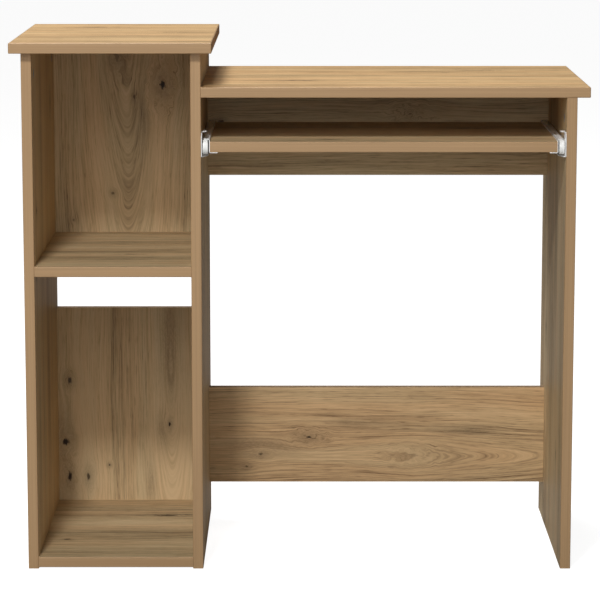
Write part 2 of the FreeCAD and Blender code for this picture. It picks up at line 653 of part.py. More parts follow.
panel_screws, tray_screws = [], []
for y in SCREW_PLACES:
    left = on_slide(GAUGE, y, CHANNEL_MIDDLE)
    right = (less(KNEE_RIGHT, GAUGE), left[1], left[2])
    panel_screws += [(left, pointing(LEFTWARD)), (right, pointing(RIGHTWARD))]
    under_left = on_slide(TRAY_SCREW_LINE, y, less(UNDER_TRAY, size("pan_head")))
    under_right = (less(KNEE_RIGHT, TRAY_SCREW_LINE), under_left[1], under_left[2])
    tray_screws += [(under_left, pointing(UP)), (under_right, pointing(UP))]
    pilot = add(size("screw_diameter"), size("hole_play"))
    pilot_depth = add(size("screw_length"), size("hole_spare"))
    for name, direction, face, point in (
            ("cabinet_right_side", LEFTWARD, KNEE_LEFT, left),
            ("desk_right_side", RIGHTWARD, KNEE_RIGHT, right)):
        bore(name, direction, (face, point[1], point[2]), pilot, pilot_depth)
    for point in (under_left, under_right):
        bore("keyboard_tray", UP, (point[0], point[1], TRAY_BOTTOM), pilot, pilot_depth)
for name in boards:
    finish_board(name)
group("slide_panel_screws", flush_screw, panel_screws)
group("slide_tray_screws", pan_screw, tray_screws)

# ---------------------------------------------------------------- check and export
doc.recompute()
for feature in doc.Objects:
    if {"Invalid", "Error"} & set(feature.State):
        raise RuntimeError(f"{feature.Label} failed: {feature.State}")
    if feature.TypeId == "PartDesign::Pocket":
        if feature.BaseFeature.Shape.Volume - feature.Shape.Volume < 1:
            raise RuntimeError(f"{feature.Label} cuts nothing")
for feature in parts:
    if feature.Shape.isNull() or not feature.Shape.isValid():
        raise RuntimeError(f"{feature.Label} has no valid shape")

os.makedirs("parts", exist_ok=True)
for feature in parts:
    feature.Shape.exportStep(os.path.join("parts", f"{feature.Label}.step"))
print(len(parts), "sub-parts written")
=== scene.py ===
import math

import bmesh
import bpy
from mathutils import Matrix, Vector


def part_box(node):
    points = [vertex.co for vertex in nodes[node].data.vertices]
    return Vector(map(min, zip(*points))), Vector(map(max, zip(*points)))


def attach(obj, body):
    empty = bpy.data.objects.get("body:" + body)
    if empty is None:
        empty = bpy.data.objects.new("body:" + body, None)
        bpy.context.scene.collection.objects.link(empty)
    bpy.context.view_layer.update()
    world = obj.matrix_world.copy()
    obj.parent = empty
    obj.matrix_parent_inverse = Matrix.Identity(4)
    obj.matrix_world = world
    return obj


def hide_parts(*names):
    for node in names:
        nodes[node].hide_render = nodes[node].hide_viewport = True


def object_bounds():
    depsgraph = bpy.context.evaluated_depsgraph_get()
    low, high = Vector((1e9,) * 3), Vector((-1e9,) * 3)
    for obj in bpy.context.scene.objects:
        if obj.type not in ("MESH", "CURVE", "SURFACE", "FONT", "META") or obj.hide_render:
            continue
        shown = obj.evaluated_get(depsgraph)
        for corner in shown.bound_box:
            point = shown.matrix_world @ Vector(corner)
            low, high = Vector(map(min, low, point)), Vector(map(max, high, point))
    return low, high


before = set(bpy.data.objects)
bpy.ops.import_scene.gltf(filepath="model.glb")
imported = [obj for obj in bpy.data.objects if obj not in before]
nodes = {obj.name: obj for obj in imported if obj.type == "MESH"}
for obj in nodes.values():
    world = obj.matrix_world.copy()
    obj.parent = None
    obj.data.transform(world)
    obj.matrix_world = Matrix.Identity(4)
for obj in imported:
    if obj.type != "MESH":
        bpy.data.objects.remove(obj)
cad_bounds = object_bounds()
bpy.ops.object.select_all(action="DESELECT")

# ---------------------------------------------------------------- studio
# The desk stands in a plain white studio. The camera looks straight at its front from a little
# above it, through a long lens. A key light hangs above the front, soft lights fill in from the
# left and the front, and a broad one above the back lights the tops.
scene = bpy.context.scene
scene.view_settings.view_transform = "Standard"
scene.view_settings.look = "None"
scene.view_settings.exposure = 0
scene.view_settings.gamma = 1
low, high = cad_bounds
centre = (low + high) / 2
FLOOR_SIZE = 60
FLOOR_SHADE = 0.4
FLOOR_GLOW = 0.92

bpy.ops.mesh.primitive_plane_add(size=FLOOR_SIZE, location=(0, 0, low.z))
floor = bpy.context.object
floor.name = "studio_floor"
floor_paint = bpy.data.materials.new("floor_paint")
floor_paint.use_nodes = True
floor_shader = floor_paint.node_tree.nodes["Principled BSDF"]
floor_shader.inputs["Base Color"].default_value = (FLOOR_SHADE, FLOOR_SHADE, FLOOR_SHADE, 1)
floor_shader.inputs["Roughness"].default_value = 0.9
floor_shader.inputs["Specular IOR Level"].default_value = 0.1
# the floor is lit up to white, and still takes a faint shadow under the desk
floor_seen = floor_paint.node_tree.nodes.new("ShaderNodeLightPath")
floor_glow = floor_paint.node_tree.nodes.new("ShaderNodeMath")
floor_glow.operation = "MULTIPLY"
floor_glow.inputs[1].default_value = FLOOR_GLOW
floor_paint.node_tree.links.new(floor_seen.outputs["Is Camera Ray"], floor_glow.inputs[0])
floor_paint.node_tree.links.new(floor_glow.outputs[0], floor_shader.inputs["Emission Strength"])
floor_shader.inputs["Emission Color"].default_value = (1, 1, 1, 1)
floor.data.materials.append(floor_paint)

CAMERA_PLACE = (-0.0006, -4.4342, 1.1275)
CAMERA_TILT = 9.415
LENS = 168.1
bpy.ops.object.camera_add(location=CAMERA_PLACE, rotation=(math.radians(90 - CAMERA_TILT), 0, 0))
camera = bpy.context.object
camera.data.sensor_width = 36
camera.data.lens = LENS
camera.data.clip_end = 60
scene.camera = camera

# name, place, diameter and power of each lamp
LAMPS = (("key_light", (-0.7, -3.0, 3.1), 0.5, 74), ("side_fill", (-1.5, -4.2, 2.0), 1.6, 17),
         ("front_fill", (-0.5, -3.9, 2.5), 1.6, 19), ("low_fill", (0, -4.6, 0.9), 1.6, 14),
         ("top_light", (-0.7, 1.2, 4.1), 1.8, 116))
for name, place, size, power in LAMPS:
    bpy.ops.object.light_add(type="AREA", location=place)
    lamp = bpy.context.object
    lamp.name = name
    lamp.data.shape = "DISK"
    lamp.data.size = size
    lamp.data.energy = power
    lamp.rotation_euler = (centre - Vector(place)).to_track_quat("-Z", "Y").to_euler()

ROOM_LIGHT = 0.09
room = bpy.data.worlds.new("white_room")
scene.world = room
room.use_nodes = True
room_tree = room.node_tree
room_glow = room_tree.nodes["Background"]
room_glow.inputs["Color"].default_value = (1, 1, 1, 1)
room_seen = room_tree.nodes.new("ShaderNodeLightPath")
room_strength = room_tree.nodes.new("ShaderNodeMix")
room_strength.inputs["A"].default_value = ROOM_LIGHT
room_strength.inputs["B"].default_value = 1
room_tree.links.new(room_seen.outputs["Is Camera Ray"], room_strength.inputs["Factor"])
room_tree.links.new(room_strength.outputs["Result"], room_glow.inputs["Strength"])

# ---------------------------------------------------------------- oak melamine
# Every board is chipboard under a printed oak foil: long grain with arched figure, tone bands,
# fine fibres, open pores and a few knots that the grain flows round. The foil is matt, and the
# pores are pressed into it. A board's pattern is laid out in metres from its own low corner.


def add_node(tree, kind, inputs=None, **settings):
    """A shader node with its settings, and its inputs either linked or given a value."""
    made = tree.nodes.new(kind)
    for name, value in settings.items():
        setattr(made, name, value)
    for name, value in (inputs or {}).items():
        if isinstance(value, bpy.types.NodeSocket):
            tree.links.new(value, made.inputs[name])
        else:
            made.inputs[name].default_value = value
    return made


def maths(tree, operation, *values, clamp=False):
    """The result of one Math node."""
    made = add_node(tree, "ShaderNodeMath", dict(enumerate(values)), operation=operation, use_clamp=clamp)
    return made.outputs[0]


def vector_of(tree, x, y, z):
    return add_node(tree, "ShaderNodeCombineXYZ", {"X": x, "Y": y, "Z": z}).outputs[0]


def grain_noise(tree, vector, detail=2.0, roughness=0.5, distortion=0.0):
    """Noise of unit scale, from about 0 to 1."""
    noise = add_node(tree, "ShaderNodeTexNoise", {"Vector": vector, "Scale": 1.0, "Detail": detail,
                                                  "Roughness": roughness, "Distortion": distortion})
    return noise.outputs[0]


def smooth(tree, value, start, end, to_start=0.0, to_end=1.0):
    """A smooth step between two values."""
    made = add_node(tree, "ShaderNodeMapRange",
                    {"Value": value, "From Min": start, "From Max": end, "To Min": to_start,
                     "To Max": to_end},
                    interpolation_type="SMOOTHSTEP")
    return made.outputs[0]


def new_group(name, inputs, outputs):
    """An empty shader group with named inputs and their starting values, and named outputs."""
    tree = bpy.data.node_groups.new(name, "ShaderNodeTree")
    for label, kind, value in inputs:
        socket = tree.interface.new_socket(label, in_out="INPUT", socket_type=f"NodeSocket{kind}")
        if value is not None:
            socket.default_value = value
    for label, kind in outputs:
        tree.interface.new_socket(label, in_out="OUTPUT", socket_type=f"NodeSocket{kind}")
    return tree, tree.nodes.new("NodeGroupInput").outputs, tree.nodes.new("NodeGroupOutput").inputs


def place_group(tree, group, inputs):
    made = add_node(tree, "ShaderNodeGroup", node_tree=group)
    for name, value in inputs.items():
        if isinstance(value, bpy.types.NodeSocket):
            tree.links.new(value, made.inputs[name])
        else:
            made.inputs[name].default_value = value
    return made.outputs


def build_knot():
    """Bends the grain round one knot and darkens its heart. X is along the grain."""
    tree, given, result = new_group(
        "oak_knot",
        [("Vector", "Vector", None), ("Dark", "Float", 0.0), ("Place", "Vector", None),
         ("Heart", "Float", 0.004), ("Reach", "Float", 0.02), ("Length", "Float", 2.0),
         ("Bend", "Float", 0.8), ("Depth", "Float", 1.0)],
        [("Vector", "Vector"), ("Dark", "Float")])
    offset = add_node(tree, "ShaderNodeVectorMath", {0: given["Vector"], 1: given["Place"]},
                      operation="SUBTRACT").outputs[0]
    parts = add_node(tree, "ShaderNodeSeparateXYZ", {0: offset}).outputs
    torn = add_node(tree, "ShaderNodeVectorMath", {0: given["Vector"], 1: (170, 420, 0)},
                    operation="MULTIPLY").outputs[0]
    ragged = grain_noise(tree, torn, detail=3, roughness=0.7)
    along = maths(tree, "DIVIDE", parts["X"], given["Length"])
    squared = maths(tree, "ADD", maths(tree, "MULTIPLY", along, along),
                    maths(tree, "MULTIPLY", parts["Y"], parts["Y"]))
    distance = maths(tree, "SQRT", squared)
    ratio = maths(tree, "DIVIDE", distance, given["Reach"])
    fall = maths(tree, "EXPONENT", maths(tree, "MULTIPLY", maths(tree, "MULTIPLY", ratio, ratio), -1.0))
    keep = maths(tree, "SUBTRACT", 1.0, maths(tree, "MULTIPLY", fall, given["Bend"]))
    place = add_node(tree, "ShaderNodeSeparateXYZ", {0: given["Place"]}).outputs
    whole = add_node(tree, "ShaderNodeSeparateXYZ", {0: given["Vector"]}).outputs
    curl = grain_noise(tree, add_node(tree, "ShaderNodeVectorMath", {0: given["Vector"], 1: (70, 110, 0)},
                                      operation="MULTIPLY").outputs[0], detail=1)
    swirl = maths(tree, "MULTIPLY", maths(tree, "MULTIPLY", maths(tree, "SUBTRACT", curl, 0.5), fall),
                  maths(tree, "MULTIPLY", maths(tree, "MULTIPLY", given["Reach"], given["Bend"]), 1.3))
    bent = maths(tree, "ADD", maths(tree, "MULTIPLY_ADD", parts["Y"], keep, place["Y"]), swirl)
    tree.links.new(vector_of(tree, whole["X"], bent, whole["Z"]), result["Vector"])
    rough_distance = maths(tree, "MULTIPLY", distance, maths(tree, "MULTIPLY_ADD", ragged, 2.4, -0.2))
    heart = smooth(tree, maths(tree, "DIVIDE", rough_distance, given["Heart"]), 1.25, 0.45)
    halo = maths(tree, "MULTIPLY", maths(tree, "MULTIPLY", fall, fall),
                 maths(tree, "MULTIPLY", ragged, 0.75))
    mark = maths(tree, "MULTIPLY", maths(tree, "MAXIMUM", heart, halo), given["Depth"])
    tree.links.new(maths(tree, "MAXIMUM", given["Dark"], mark), result["Dark"])
    return tree


def build_oak():
    """The oak foil: colour, roughness and height from a place on the board."""
    tree, given, result = new_group(
        "oak_foil",
        [("Vector", "Vector", None), ("Dark", "Float", 0.0), ("Seed", "Float", 0.0),
         ("Arch", "Float", 0.0), ("Arch Centre", "Float", 0.0), ("Arch Drift", "Float", 0.1),
         ("Arch Start", "Float", 0.02), ("Tone", "Float", 0.0), ("Contrast", "Float", 1.0),
         ("Stain", "Color", (1, 1, 1, 1))],
        [("Color", "Color"), ("Roughness", "Float"), ("Height", "Float")])
    spot = add_node(tree, "ShaderNodeSeparateXYZ", {0: given["Vector"]}).outputs
    along, across, seed = spot["X"], spot["Y"], given["Seed"]

    def streaks(rate_along, rate_across, lane, shift=0.0, **more):
        moved = maths(tree, "ADD", seed, shift)
        vector = vector_of(tree, maths(tree, "MULTIPLY", along, rate_along),
                           maths(tree, "MULTIPLY", lane, rate_across), moved)
        return grain_noise(tree, vector, **more)

    sway = streaks(1.7, 5.0, across, 11.3)
    waver = streaks(7.0, 26.0, across, 23.9)
    lane = maths(tree, "MULTIPLY_ADD", maths(tree, "SUBTRACT", sway, 0.5), 0.040, across)
    lane = maths(tree, "MULTIPLY_ADD", maths(tree, "SUBTRACT", waver, 0.5), 0.007, lane)
    # arched figure: rings cut at a slant make nested arches, then run straight on
    rise = maths(tree, "MULTIPLY_ADD", along, given["Arch Drift"], given["Arch Start"])
    rise = maths(tree, "SMOOTH_MAX", rise, 0.0, 0.02)
    aside = maths(tree, "SUBTRACT", lane, given["Arch Centre"])
    ring = maths(tree, "SQRT", maths(tree, "ADD", maths(tree, "MULTIPLY", rise, rise),
                                     maths(tree, "MULTIPLY", aside, aside)))
    lane = add_node(tree, "ShaderNodeMix", {0: given["Arch"], 2: lane, 3: ring}).outputs[0]
    clouds = streaks(2.4, 14.0, across, 80.3, detail=2.0)
    bands = streaks(0.9, 17.0, lane, 3.1, detail=1.5)
    rings = streaks(1.3, 95.0, lane, 7.7, detail=3.0, roughness=0.6)
    lines = streaks(3.0, 330.0, lane, 15.1, detail=2.0)
    threads = streaks(13.0, 600.0, lane, 55.9, detail=1.0)
    fibres = streaks(26.0, 1300.0, lane, 31.7, detail=2.0, roughness=0.7)
    pores = streaks(60.0, 1700.0, lane, 47.3, detail=1.0)
    flecks = streaks(38.0, 560.0, lane, 70.9, detail=1.0)
    # dark late wood runs in thin lines, mostly inside the darker bands
    late = smooth(tree, rings, 0.56, 0.74)
    dark_line = smooth(tree, lines, 0.56, 0.76)
    tone = maths(tree, "MULTIPLY_ADD", maths(tree, "SUBTRACT", bands, 0.5), 0.85, 0.43)
    for share, strength in ((clouds, 0.50), (rings, 0.55), (lines, 0.72), (threads, 0.90), (fibres, 0.80)):
        tone = maths(tree, "MULTIPLY_ADD", maths(tree, "SUBTRACT", share, 0.5), strength, tone)
    tone = maths(tree, "MULTIPLY_ADD", late, 0.16, tone)
    tone = maths(tree, "MULTIPLY_ADD", dark_line, 0.13, tone)
    tone = maths(tree, "MULTIPLY_ADD", smooth(tree, flecks, 0.58, 0.70), 0.20, tone)
    tone = maths(tree, "MULTIPLY_ADD", maths(tree, "SUBTRACT", tone, 0.46), given["Contrast"], 0.46)
    tone = maths(tree, "ADD", tone, given["Tone"])
    pore = maths(tree, "MULTIPLY", smooth(tree, pores, 0.60, 0.70),
                 smooth(tree, rings, 0.35, 0.62, 0.35, 1.0))
    tone = maths(tree, "MULTIPLY_ADD", pore, 0.20, tone)
    ramp = add_node(tree, "ShaderNodeValToRGB", {0: tone})
    stops = ((0.0, (0.730, 0.515, 0.285)), (0.30, (0.640, 0.442, 0.237)), (0.55, (0.525, 0.357, 0.187)),
             (0.8, (0.365, 0.243, 0.126)), (1.0, (0.205, 0.130, 0.066)))
    for number, (position, colour) in enumerate(stops):
        if number in (0, len(stops) - 1):
            stop = ramp.color_ramp.elements[0 if number == 0 else -1]
        else:
            stop = ramp.color_ramp.elements.new(position)
        stop.position = position
        stop.color = (*colour, 1)
    # the print wanders between a redder and a yellower brown
    hue = streaks(2.5, 30.0, lane, 61.0)
    warm = add_node(tree, "ShaderNodeMix",
                    {"Factor": smooth(tree, hue, 0.35, 0.65), 6: ramp.outputs["Color"]},
                    data_type="RGBA", blend_type="MULTIPLY")
    warm.inputs[7].default_value = (1.03, 0.965, 0.93, 1)
    # painted light: a per-board tint, cooler on the boards in shade and yellower on the lit tops
    light_tinted = add_node(tree, "ShaderNodeMix", {0: 1.0, 6: warm.outputs[2], 7: given["Stain"]},
                       data_type="RGBA", blend_type="MULTIPLY")
    knots = add_node(tree, "ShaderNodeMix", {"Factor": given["Dark"], 6: light_tinted.outputs[2]},
                     data_type="RGBA", blend_type="MIX")
    knots.inputs[7].default_value = (0.030, 0.017, 0.010, 1)
    tree.links.new(knots.outputs[2], result["Color"])
    tree.links.new(maths(tree, "MULTIPLY_ADD", fibres, 0.10, 0.46), result["Roughness"])
    height = maths(tree, "SUBTRACT", maths(tree, "MULTIPLY", rings, 0.35), pore)
    tree.links.new(height, result["Height"])
    return tree


def build_core_and_edge_shade():
    """The chipboard under the foil: pressed chips of light and dark wood, darkened to a brown that is
    partly painted shade along the boards' edges.
    """
    tree, given, result = new_group("chipboard_and_edge_shade", [("Vector", "Vector", None)],
                                    [("Color", "Color"), ("Height", "Float")])
    chips = add_node(tree, "ShaderNodeTexVoronoi", {"Vector": given["Vector"], "Scale": 700.0})
    finer = add_node(tree, "ShaderNodeVectorMath", {0: given["Vector"], 1: (900, 900, 900)},
                     operation="MULTIPLY").outputs[0]
    crumbs = grain_noise(tree, finer, detail=3)
    chip = add_node(tree, "ShaderNodeSeparateColor", {0: chips.outputs["Color"]}).outputs[0]
    tone = maths(tree, "MULTIPLY_ADD", chip, 0.7, maths(tree, "MULTIPLY", crumbs, 0.4))
    ramp = add_node(tree, "ShaderNodeValToRGB", {0: tone})
    ramp.color_ramp.elements[0].position = 0.1
    # these browns are darker than bare chipboard: partly painted shade for the edges
    ramp.color_ramp.elements[0].color = (0.090, 0.058, 0.033, 1)
    ramp.color_ramp.elements[-1].position = 0.95
    ramp.color_ramp.elements[-1].color = (0.36, 0.25, 0.15, 1)
    tree.links.new(ramp.outputs["Color"], result["Color"])
    tree.links.new(crumbs, result["Height"])
    return tree


knot_group = build_knot()
oak_group = build_oak()
core_and_shade_group = build_core_and_edge_shade()
# the axes along the grain, across it and through the board, for each way a board lies
GRAIN_ALONG = {"x": ("X", "Y", "Z"), "x_upright": ("X", "Z", "Y"), "z": ("Z", "X", "Y"),
               "z_side": ("Z", "Y", "X")}


def oak_material(name, run, seed, knots=(), **figure):
    """The oak foil laid on one board, with its own figure and knots.

    A knot is given by its place along and across, its heart, reach, length, bend and depth. One
    with hardly any heart and no bend is a soft dark patch.
    """
    material = bpy.data.materials.new(f"oak_{name}")
    material.use_nodes = True
    tree = material.node_tree
    shader = tree.nodes["Principled BSDF"]
    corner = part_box(name)[0]
    coordinates = add_node(tree, "ShaderNodeTexCoord").outputs
    centred = add_node(tree, "ShaderNodeMapping", {"Vector": coordinates["Object"], "Location": -corner})
    parts = add_node(tree, "ShaderNodeSeparateXYZ", {0: centred.outputs[0]}).outputs
    vector = vector_of(tree, *(parts[axis] for axis in GRAIN_ALONG[run]))
    dark = 0.0
    for along, across, heart, reach, length, bend, depth in knots:
        out = place_group(tree, knot_group, {"Vector": vector, "Dark": dark, "Place": (along, across, 0),
                                             "Heart": heart, "Reach": reach, "Length": length,
                                             "Bend": bend, "Depth": depth})
        vector, dark = out["Vector"], out["Dark"]
    foil = place_group(tree, oak_group, {"Vector": vector, "Dark": dark, "Seed": seed, **figure})
    core_and_shade = place_group(tree, core_and_shade_group, {"Vector": coordinates["Object"]})
    # the foil lies on the two broad faces, and the chipboard shows on cut edges and in bores; its dark
    # brown there is partly the chipboard's own colour and partly painted shade along the edges
    normal = add_node(tree, "ShaderNodeSeparateXYZ", {0: coordinates["Normal"]}).outputs
    facing = normal[GRAIN_ALONG[run][2]]
    cut = smooth(tree, maths(tree, "ABSOLUTE", facing), 0.75, 0.65)
    colour = add_node(tree, "ShaderNodeMix", {0: cut, 6: foil["Color"], 7: core_and_shade["Color"]},
                      data_type="RGBA")
    height = add_node(tree, "ShaderNodeMix", {0: cut, 2: foil["Height"], 3: core_and_shade["Height"]})
    roughness = add_node(tree, "ShaderNodeMix", {0: cut, 2: foil["Roughness"]})
    roughness.inputs[3].default_value = 0.85
    tree.links.new(colour.outputs[2], shader.inputs["Base Color"])
    tree.links.new(roughness.outputs[0], shader.inputs["Roughness"])
    bump = add_node(tree, "ShaderNodeBump",
                    {"Height": height.outputs[0], "Strength": 0.3, "Distance": 0.0002})
    tree.links.new(bump.outputs[0], shader.inputs["Normal"])
    shader.inputs["Specular IOR Level"].default_value = 0.22
    return material


def dress(name, material):
    """Give a carried-over piece its finish."""
    mesh = nodes[name].data
    if not mesh.materials:
        mesh.materials.append(material)
    for slot in nodes[name].material_slots:
        slot.material = material


# ---------------------------------------------------------------- cabinet sides
# Two upright boards of foiled chipboard that stand on the floor, with the grain running up.
# Their faces take the bolts and dowels of the boards between them, and cams near their top ends
# hold the cabinet's top.
# painted shade colour: a cooler tint for the boards that stand mostly in shade, set against the warm light
# bounced between the oak boards
SHADE_TINT = (0.93, 1.02, 1.09, 1)
dress("cabinet_left_side", oak_material(
    "cabinet_left_side", "z_side", 3.0, Tone=-0.18, Stain=SHADE_TINT, knots=[
    (0.555, 0.05, 0.004, 0.014, 1.6, 0.8, 1.0), (0.46, 0.035, 0.004, 0.014, 1.6, 0.8, 1.0),
    (0.62, 0.14, 0.0001, 0.020, 12.0, 0.0, 0.9), (0.28, 0.22, 0.0001, 0.028, 9.0, 0.0, 0.9),
    (0.20, 0.06, 0.0001, 0.016, 10.0, 0.0, 0.8), (0.70, 0.31, 0.004, 0.020, 2.0, 0.8, 0.8)]))
dress("cabinet_right_side", oak_material(
    "cabinet_right_side", "z_side", 9.0, Tone=-0.04, Stain=SHADE_TINT, knots=[
    (0.58, 0.12, 0.0001, 0.024, 9.0, 0.0, 0.8), (0.22, 0.27, 0.004, 0.022, 2.2, 0.85, 0.9),
    (0.30, 0.08, 0.003, 0.014, 2.0, 0.8, 0.7)]))

# ---------------------------------------------------------------- cabinet bottom and shelf
# Level boards between the sides, of the same foiled chipboard, with the grain running from
# side to side. Each is held at both ends by cams from below.
dress("cabinet_bottom", oak_material("cabinet_bottom", "x", 14.0, Contrast=1.2, Stain=SHADE_TINT, knots=[
    (0.19, 0.27, 0.004, 0.014, 3.5, 0.8, 1.0), (0.035, 0.11, 0.003, 0.01, 2.0, 0.7, 0.8)]))
dress("cabinet_shelf", oak_material(
    "cabinet_shelf", "x", 21.0, Tone=-0.05, Contrast=1.2, Stain=SHADE_TINT, knots=[
    (0.14, 0.13, 0.003, 0.012, 3.5, 0.8, 0.5)]))

# ---------------------------------------------------------------- cabinet backs
# Upright boards let in between the sides, held at both ends by cams from behind. The lower one
# stops short of the shelf and leaves a gap under it.
dress("cabinet_back_upper", oak_material(
    "cabinet_back_upper", "z", 33.0, Arch=1.0, Tone=-0.12, Stain=SHADE_TINT, **{
    "Arch Centre": 0.12, "Arch Drift": -0.12, "Arch Start": 0.05}, knots=[
    (0.245, 0.18, 0.005, 0.03, 1.6, 0.85, 1.0), (0.29, 0.105, 0.004, 0.02, 2.2, 0.8, 0.6),
    (0.225, 0.135, 0.0025, 0.01, 2.0, 0.7, 0.8), (0.065, 0.096, 0.003, 0.012, 1.0, 0.8, 0.7),
    (0.02, 0.03, 0.002, 0.008, 1.5, 0.7, 0.6),
    (0.30, 0.110, 0.0001, 0.022, 3.0, 0.0, 0.9), (0.19, 0.150, 0.0001, 0.016, 4.5, 0.0, 0.7)]))
dress("cabinet_back_lower", oak_material(
    "cabinet_back_lower", "z", 41.0, Arch=1.0, Tone=-0.22, Stain=SHADE_TINT, **{
    "Arch Centre": 0.19, "Arch Drift": -0.10, "Arch Start": 0.0227}, knots=[
    (0.205, 0.02, 0.004, 0.016, 1.6, 0.85, 0.9), (0.1, 0.012, 0.007, 0.02, 1.0, 0.85, 1.0),
    (0.04, 0.018, 0.004, 0.02, 2.4, 0.85, 1.0), (0.04, 0.047, 0.004, 0.018, 1.8, 0.85, 0.9),
    (0.13, 0.187, 0.0025, 0.012, 1.8, 0.8, 1.0), (0.06, 0.085, 0.002, 0.008, 1.0, 0.7, 0.9),
    (0.27, 0.188, 0.0001, 0.026, 5.5, 0.0, 1.0), (0.12, 0.176, 0.0001, 0.018, 3.0, 0.0, 0.7),
    (0.03, 0.155, 0.0001, 0.014, 3.5, 0.0, 0.7), (0.11, 0.012, 0.0001, 0.020, 4.0, 0.0, 0.9)]))

# ---------------------------------------------------------------- cabinet top
# A foiled board that lies on the two sides and overhangs them all round, held down by cams in
# the sides. Its foil takes a yellower painted tint for the light on the tops; its figure is stronger.
# painted light: the yellower tint of the lit tops, where the direct light falls
LIT_TOP_TINT = (1.0, 0.975, 0.89, 1)
dress("cabinet_top", oak_material("cabinet_top", "x", 52.0, Contrast=1.35, Stain=LIT_TOP_TINT, knots=[
    (0.10, 0.35, 0.004, 0.018, 3.5, 0.8, 0.7), (0.20, 0.15, 0.0001, 0.012, 9.0, 0.0, 0.8)]))

# ---------------------------------------------------------------- desk side, rails and desktop
# The right side stands on the floor, and two upright rails join it to the cabinet behind the
# knees. The desktop lies on it and is held to it and to the cabinet by cams.
dress("desk_right_side", oak_material("desk_right_side", "z_side", 63.0, Tone=0.02, Stain=SHADE_TINT, knots=[
    (0.50, 0.14, 0.0001, 0.026, 7.0, 0.0, 0.9), (0.33, 0.30, 0.004, 0.020, 2.2, 0.85, 0.9),
    (0.16, 0.10, 0.003, 0.016, 2.0, 0.8, 0.8)]))
dress("modesty_rail_upper", oak_material(
    "modesty_rail_upper", "x_upright", 71.0, Tone=-0.04, Stain=SHADE_TINT, knots=[
    (0.022, 0.085, 0.006, 0.016, 1.2, 0.8, 1.0), (0.33, 0.10, 0.002, 0.024, 1.8, 0.8, 0.4),
    (0.52, 0.04, 0.002, 0.010, 2.0, 0.7, 0.8)]))
dress("modesty_rail_lower", oak_material("modesty_rail_lower", "x_upright", 83.0, Arch=1.0, **{
    "Arch Centre": 0.045, "Arch Drift": 0.09, "Arch Start": -0.026}, knots=[
    (0.165, 0.076, 0.0022, 0.02, 2.0, 0.7, 1.0), (0.085, 0.047, 0.002, 0.014, 2.0, 0.7, 0.9),
    (0.062, 0.027, 0.0018, 0.01, 1.5, 0.7, 0.8), (0.34, 0.045, 0.003, 0.022, 2.5, 0.7, 0.4),
    (0.09, 0.062, 0.0001, 0.022, 4.0, 0.0, 1.0), (0.43, 0.088, 0.0001, 0.010, 6.0, 0.0, 0.9),
    (0.23, 0.100, 0.0001, 0.009, 6.0, 0.0, 0.7)]))
# the desktop takes the same painted light tint as the cabinet's top
dress("desktop", oak_material("desktop", "x", 95.0, Contrast=1.35, Stain=LIT_TOP_TINT, knots=[
    (0.42, 0.31, 0.003, 0.020, 4.0, 0.85, 0.6), (0.36, 0.29, 0.0001, 0.009, 14.0, 0.0, 1.0),
    (0.47, 0.19, 0.0001, 0.012, 12.0, 0.0, 0.9), (0.16, 0.12, 0.003, 0.014, 3.0, 0.8, 0.7)]))

# ---------------------------------------------------------------- keyboard tray
# A foiled board screwed on top of the two slide members, so that it hangs between the slides.
# The grain runs from side to side.
# its foil is painted lighter (Tone) and takes the shade tint: a painted lift for the shade it lies in under
# the desktop
dress("keyboard_tray", oak_material("keyboard_tray", "x", 104.0, Tone=-0.18, Stain=SHADE_TINT, knots=[
    (0.18, 0.035, 0.003, 0.010, 4.0, 0.7, 0.8), (0.13, 0.022, 0.0025, 0.008, 4.0, 0.7, 0.7),
    (0.40, 0.20, 0.003, 0.018, 3.0, 0.85, 0.8)]))

# ---------------------------------------------------------------- edge bands
# Plastic strips glued to the front edges of the boards and round the tops. They are printed
# with fine lengthwise lines, and their corners are rounded.


def build_edging():
    """The edging's print: fine lines along the strip. X is along it and Y across it."""
    tree, given, result = new_group("oak_edging", [("Vector", "Vector", None), ("Seed", "Float", 0.0)],
                                    [("Color", "Color"), ("Roughness", "Float"), ("Height", "Float")])
    spot = add_node(tree, "ShaderNodeSeparateXYZ", {0: given["Vector"]}).outputs
    seed = given["Seed"]
    fine = grain_noise(tree, vector_of(tree, maths(tree, "MULTIPLY", spot["X"], 5.0),
                                       maths(tree, "MULTIPLY", spot["Y"], 1400.0), seed), detail=2)
    broad = grain_noise(tree, vector_of(tree, maths(tree, "MULTIPLY", spot["X"], 1.6),
                                        maths(tree, "MULTIPLY", spot["Y"], 320.0), seed), detail=2)
    cloud = grain_noise(tree, vector_of(tree, maths(tree, "MULTIPLY", spot["X"], 3.0),
                                        maths(tree, "MULTIPLY", spot["Y"], 20.0), seed), detail=1)
    tone = maths(tree, "MULTIPLY_ADD", fine, 0.45, maths(tree, "MULTIPLY", broad, 0.4))
    tone = maths(tree, "MULTIPLY_ADD", cloud, 0.25, tone)
    ramp = add_node(tree, "ShaderNodeValToRGB", {0: tone})
    ramp.color_ramp.elements[0].position = 0.3
    ramp.color_ramp.elements[0].color = (0.535, 0.338, 0.172, 1)
    ramp.color_ramp.elements[-1].position = 0.8
    ramp.color_ramp.elements[-1].color = (0.372, 0.227, 0.111, 1)
    tree.links.new(ramp.outputs["Color"], result["Color"])
    tree.links.new(maths(tree, "MULTIPLY_ADD", fine, 0.1, 0.4), result["Roughness"])
    tree.links.new(fine, result["Height"])
    return tree


edging_group = build_edging()


